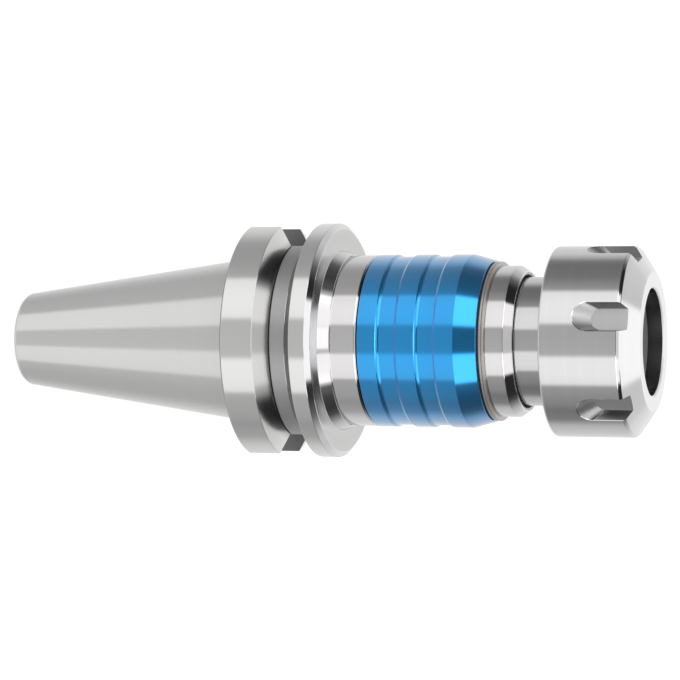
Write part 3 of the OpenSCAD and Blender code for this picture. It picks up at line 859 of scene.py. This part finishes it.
TOP, LOWER, WIDE, START, BORE = 23.0, 22.5, 5.22, 36.824, 20.05
PAIR = [(TOP, START + 0.3, 0.1), (TOP, START + WIDE - 0.15, 0.1), (LOWER, START + WIDE + 0.35, 1.5),
        (LOWER, START + 2 * WIDE - 0.35, 0.15)]
LAST = START + 4 * WIDE
REST = [(TOP, LAST + 0.25, 0.1), (TOP, LAST + WIDE, 0.1), (21.4, 68.674, 0.25), (BORE, 68.674, 0.05),
        *o_ring_groove(51.3), *o_ring_groove(40.4), (BORE, 36.66, 0.05), (21.4, 36.66, 0.05),
        (21.4, START + 0.2, 0.05), (22.9, START + 0.2, 0.05)]
sleeve = mesh_object("sleeve_banded", [(r * MM, bend * MM, z * MM) for r, z, bend in PAIR + REST], [], [])
apply_tree(sleeve, repeated, Repeat_Corners=len(PAIR), Repeats=2, Pitch=2 * WIDE, Material=blue)
print("sleeve", round(outward(sleeve)), "mm3, from, to and radius", measure(sleeve))
round_normals(sleeve)
finish(sleeve, "housing", "sleeve")

# %% [markdown]
# ## What holds the sleeve
#
# A black rubber washer and a two-turn flat wire ring hold the sleeve on the tube. A wiper
# seal with a steel case closes the gap round the neck; only its black lip shows.

# %% Turn the washer, the ring and the seal
washer = lathe("washer_turned", [(20.02, 68.674), (20.85, 68.674), (20.85, 69.194), (20.02, 69.194)],
               [rubber], edge=0.12)
round_normals(washer)
finish(washer, "housing", "sleeve_washer")

RING = [(19.22, 69.194), (20.98, 69.194), (21.1, 69.314), (21.1, 69.744), (20.98, 69.844),
        (20.6, 69.854), (20.6, 69.894), (20.98, 69.904), (21.1, 70.004), (21.1, 70.434),
        (20.98, 70.554), (19.22, 70.554)]
ring_piece = lathe("retaining_ring_turned", RING, [wire_look], edge=0.05)
round_normals(ring_piece)
finish(ring_piece, "housing", "retaining_ring")

SEAL = [(17.35, 74.484), (18.2, 74.484), (18.2, 77.484), (17.7, 77.484), (17.7, 77.284), (17.55, 77.284),
        (17.05, 76.584), (17.05, 75.984)]
seal = lathe("wiper_seal_turned", SEAL, [rubber, satin])
paint_faces(seal, [(satin, 17.69, FAR, -FAR, FAR)])
round_normals(seal)
finish(seal, "housing", "wiper_seal")

# %% [markdown]
# ## Geometry Nodes: a coil
#
# Springs and threads are both sweeps along a helix. One tree makes the helix: the point
# with index i has made i / steps turns, and its height is the sum of three clamped ramps,
# for the closed turns at both ends and the open turns between them. A section is swept
# along it. A circle gives round wire. A circle of three points is an equilateral triangle,
# which is the section of a metric screw thread. Over the run out, at both ends, the section
# shrinks to almost nothing, as a thread that ends in a smooth shaft does.
#
# A spring's two ends rest on different bodies. So it rides on neither.

# %% Build the coil tree
coil, given, result = new_tree("Geometry", "coil", {
    "Geometry": ("Geometry", None), "Mean Radius": ("Float", 9.4), "Section Radius": ("Float", 1.4),
    "Turns": ("Float", 8.0), "Start": ("Float", 0.0), "Closed Pitch": ("Float", 2.9),
    "Open Pitch": ("Float", 4.0), "Sides": ("Int", 16), "Steps": ("Int", 48),
    "Run Out": ("Float", 0.01), "Material": ("Material", None)}, Geometry="Geometry")
turns, steps = given["Turns"], given["Steps"]
add, subtract, times, over = maths(coil, "ADD", "SUBTRACT", "MULTIPLY", "DIVIDE")
least, most = maths(coil, "MINIMUM", "MAXIMUM")
line = node(coil, "GeometryNodeMeshLine", Count=add(times(turns, steps), 1.0))
done = over(node(coil, "GeometryNodeInputIndex"), steps)
last = subtract(turns, 1.0)
closed_turns = add(least(done, 1.0), most(subtract(done, last), 0.0))
open_turns = most(subtract(least(done, last), 1.0), 0.0)
height = add(times(closed_turns, given["Closed Pitch"]), times(open_turns, given["Open Pitch"]))
height = times(add(height, given["Start"]), MM)
angle = times(done, 2 * math.pi)
x, y = (times(times(calc(coil, wave, angle), given["Mean Radius"]), MM) for wave in ("COSINE", "SINE"))
spot = node(coil, "ShaderNodeCombineXYZ", X=x, Y=y, Z=height)
move = node(coil, "GeometryNodeSetPosition", Geometry=line, Position=spot)
curve = node(coil, "GeometryNodeMeshToCurve", Mesh=move)
upright = node(coil, "GeometryNodeSetCurveNormal", mode="Z_UP", Curve=curve)
from_end = over(least(done, subtract(turns, done)), given["Run Out"])
swell = node(coil, "GeometryNodeSetCurveRadius", Curve=upright, Radius=most(least(from_end, 1.0), 0.02))
section = node(coil, "GeometryNodeCurvePrimitiveCircle", Resolution=given["Sides"],
               Radius=times(given["Section Radius"], MM))
swollen = node(coil, "GeometryNodeInputRadius")
sweep = node(coil, "GeometryNodeCurveToMesh", Fill_Caps=True, Scale=swollen, Curve=swell,
             Profile_Curve=section)
close_tree(coil, given, result, sweep)
print("tree", coil.name, [s.name for s in coil.interface.items_tree])

# %% Wind the two springs
def wind(name, look, **values):
    """Runs the coil tree, which needs no mesh of its own to start from but one point."""
    made = mesh_object(name, [(0, 0, 0)], [], [])
    apply_tree(made, coil, Material=look, **values)
    volume = outward(made)
    made.data.shade_smooth()
    made.data.set_sharp_from_angle(angle=math.radians(50))
    print(name, round(volume), "mm3, from, to and radius", measure(made))
    return made


def spring(name, cad, mean, wire, low, high, turns):
    """A spring between two bodies, the one under its low end and the one over its high end."""
    closed = wire * 1.03
    open_pitch = (high - low - wire - 2 * closed) / (turns - 2)
    made = wind(name, wire_look, Mean_Radius=mean / 2, Section_Radius=wire / 2, Turns=float(turns),
                Start=low + wire / 2, Closed_Pitch=closed, Open_Pitch=open_pitch)
    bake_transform(made)
    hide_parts(cad)


spring("push_spring_wound", "compression_spring", 18.8, 2.8, -20.8, 12.8, 8)
spring("pull_spring_wound", "tension_spring", 16.2, 2.4, 20.0, 41.0, 5)

# %% [markdown]
# ## The drive balls
#
# Three hardened balls sit half in the housing and half in tracks of the spindle. One ball
# is made as a subdivided cube pushed out to a sphere, which has even faces and no poles,
# and the ring of copies places three.

# %% Make the balls
bm = bmesh.new()
bmesh.ops.create_cube(bm, size=1.0)
bmesh.ops.subdivide_edges(bm, edges=bm.edges, cuts=15, use_grid_fill=True)
for v in bm.verts:
    v.co = v.co.normalized() * BALL * MM + Vector((BALLS_OUT, 0, BALLS_UP)) * MM
balls = from_bmesh("drive_balls_round", bm)
apply_tree(balls, copies, Count=3, First_Angle=FIRST_BALL, Material=ball_look)
balls.data.shade_smooth()
finish(balls, "housing", "drive_balls")

# %% [markdown]
# ## The spindle
#
# The bright neck between nose and nut is the spindle. It goes on inside, down to the
# springs, and its front carries the collet seat and a fine thread for the nut.

# %% Turn the spindle and its thread
SPINDLE = [
    (5.05, 14.0), (16.5, 14.0), (17.0, 14.5), (17.0, 17.0), (16.0, 17.0), (16.0, 24.0),
    (17.0, 24.0), (17.0, 88.284), (19.5, 88.284), (19.98, 88.764), (19.98, 89.2), (19.1, 90.0),
    (19.1, 98.984), (18.7, 99.384), (16.5, 99.384), (12.07, 67.884), (11.5, 67.884), (11.5, 62.7),
    (11.03, 62.7), (11.03, 57.2), (10.5, 57.2), (10.5, 20.0), (5.05, 20.0)]
spindle = lathe("spindle_turned", SPINDLE, [neck_look, seat_shade_look])
# painted shade: the collet seat and the bore deep inside the spindle get the dark seat steel
paint_faces(spindle, [(seat_shade_look, 0, 16.45, 20, FAR)])
bar = [(BALLS_OUT + TRACK * c, TRACK * s) for c, s in circle]
tool = loft("ball_track_cut", [[(x, y, z) for x, y in bar] for z in (34.174, 55.874)])
cut(spindle, apply_tree(tool, copies, Count=3, First_Angle=FIRST_BALL, Material=milled))
round_normals(spindle, flat=[milled])
finish(spindle, "floating_spindle", "spindle")
thread = wind("spindle_thread", polished, Mean_Radius=19.134, Section_Radius=0.866, Turns=6.0,
              Start=89.9, Closed_Pitch=1.5, Open_Pitch=1.5, Sides=3, Steps=144, Run_Out=0.3)
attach(thread, "floating_spindle")

# %% [markdown]
# ## The clamp nut
#
# A round nut with six wrench slots. Each slot was milled with a round cutter that leaned
# outwards, so its floor ends in a half circle and its walls widen to the rim. One cutting
# tool is lofted through four outlines: the floor, the rim just below the surface, the same
# rim widened for a broken edge, and a last one outside the nut. The outer ones follow the
# nut's round surface, so the broken edge is equally wide all along.

# %% Turn the nut and cut its wrench slots
NUT = [
    (20.03, 86.584), (20.83, 85.784), (24.5, 85.784), (24.85, 85.93), (25.0, 86.284),
    (25.0, 106.15), (24.5, 106.914), (18.3, 110.944), (14.4, 110.944), (14.0, 110.544), (14.0, 106.544),
    (16.7, 101.984), (18.6, 101.984), (18.6, 99.984), (20.03, 99.984)]
NUT_LOOKS = [
    # painted light: the cone inside the opening and the opening's edge are made pale
    (painted_light_look, 14.1, 16.6, 102.1, 106.5),   # the cone inside the opening
    (painted_light_look, 0, 14.4, 110.5, 110.94),     # the edge of the opening
    # painted shade: the opening's wall and the hollow deep inside the nut are darkened
    (seat_shade_look, 0, 14.1, -FAR, 110.5),       # the opening's wall
    (seat_shade_look, 0, 18.7, -FAR, 107),         # the hollow for the extractor ring
    (polished, 24.4, FAR, 106.1, 107)]       # the steep edge next to the front cone
nut = lathe("clamp_nut_turned", NUT, [nut_look, seat_shade_look, painted_light_look, polished], edge=0.08, segments=360)
paint_faces(nut, NUT_LOOKS)


def u_shape(half, end, steps=24):
    """A U lying along the axis: round end at height end, open past the nut's front."""
    top = 113
    made = [(half, top)]
    for k in range(steps + 1):
        a = -math.pi * k / steps
        made.append((half * math.cos(a), end + half + half * math.sin(a)))
    return made + [(-half, top)]


def on_round(outline, radius):
    """Lays an outline of (side, height) on a cylinder."""
    return [(math.sqrt(radius ** 2 - s ** 2), s, h) for s, h in outline]


def on_flat(outline, distance):
    """Lays an outline of (side, height) on a plane at that distance from the axis."""
    return [(distance, s, h) for s, h in outline]


SLOT_HALF, SLOT_END, SLOT_FLOOR, SLOT_FIRST, SLOT_COUNT = 2.8, 98.944, 22.0, 15.0, 6
RIM_HALF, RIM_END, BREAK = 3.8, 94.644, 0.3
outer = u_shape(RIM_HALF + BREAK, RIM_END - BREAK)
tool = loft("wrench_slot_cut", [
    on_flat(u_shape(SLOT_HALF, SLOT_END), SLOT_FLOOR), on_round(u_shape(RIM_HALF, RIM_END), 24.88),
    on_round(outer, 25.12), on_flat(outer, 27.0)])
cut(nut, apply_tree(tool, copies, Count=SLOT_COUNT, First_Angle=SLOT_FIRST, Material=milled))

# %% Paint shade on the slots' walls and give their broken edges the nut's steel
nut.data.materials.append(wall_shade_look)
slots = list(nut.data.materials)
for face in nut.data.polygons:
    away = Vector((face.center.x, face.center.y, 0))
    if slots[face.material_index] != milled:
        continue
    if away.length > 24.9 * MM:
        face.material_index = slots.index(nut_look)
    # painted shade: the side walls get the darker wall steel
    elif abs(face.normal.z) < 0.2 and abs(face.normal.dot(away.normalized())) < 0.75:
        face.material_index = slots.index(wall_shade_look)
round_normals(nut, flat=[milled, wall_shade_look], angle=25)
finish(nut, "nut", "clamp_nut")

# %% [markdown]
# ## The extractor ring
#
# Deep in the nut's opening sits a ring whose hole is off centre. One side of it hooks the
# groove of a collet and pulls it out as the nut is unscrewed. It is a disc with a second,
# shifted disc cut out of it.

# %% Turn the extractor ring
HOLE, SHIFTED = 16.1, 0.6
hook = lathe("extractor_ring_turned", [(0, 100.084), (18.55, 100.084), (18.55, 101.884), (0, 101.884)],
             [satin])
hole = lathe("extractor_hole", [(0, 99), (HOLE, 99), (HOLE, 103), (0, 103)], [milled])
hole.data.transform(Matrix.Translation((0, SHIFTED * MM, 0)))
cut(hook, hole)
round_normals(hook, flat=[milled])
for slot in hook.material_slots:
    slot.material = satin
finish(hook, "extractor", "extractor_ring")

# %% [markdown]
# ## Pieces that keep their CAD shape
#
# The inner pieces are right as they are. Only their material slots change.

# %% Paint the kept CAD pieces
KEPT = {"sleeve_o_rings": rubber, "front_bush": bronze, "guide_band": plastic,
        "tie_rod": black_steel, "stop_screw": black_steel,
        "head_washer": satin, "rear_spring_seat": satin, "front_spring_seat": satin}
for name, look in KEPT.items():
    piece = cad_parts[name]
    for slot in piece.material_slots:
        slot.material = look
print("kept:", ", ".join(KEPT))

# %% [markdown]
# ## Compare the sizes and finish
#
# The looks may not change the part's size, so both boxes are written down.

# %% Write the sizes
seen_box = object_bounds()
for label, low, high in (("cad", *cad_box), ("visual", *seen_box)):
    print(label, [round((b - a) / MM, 3) for a, b in zip(low, high)], "mm")
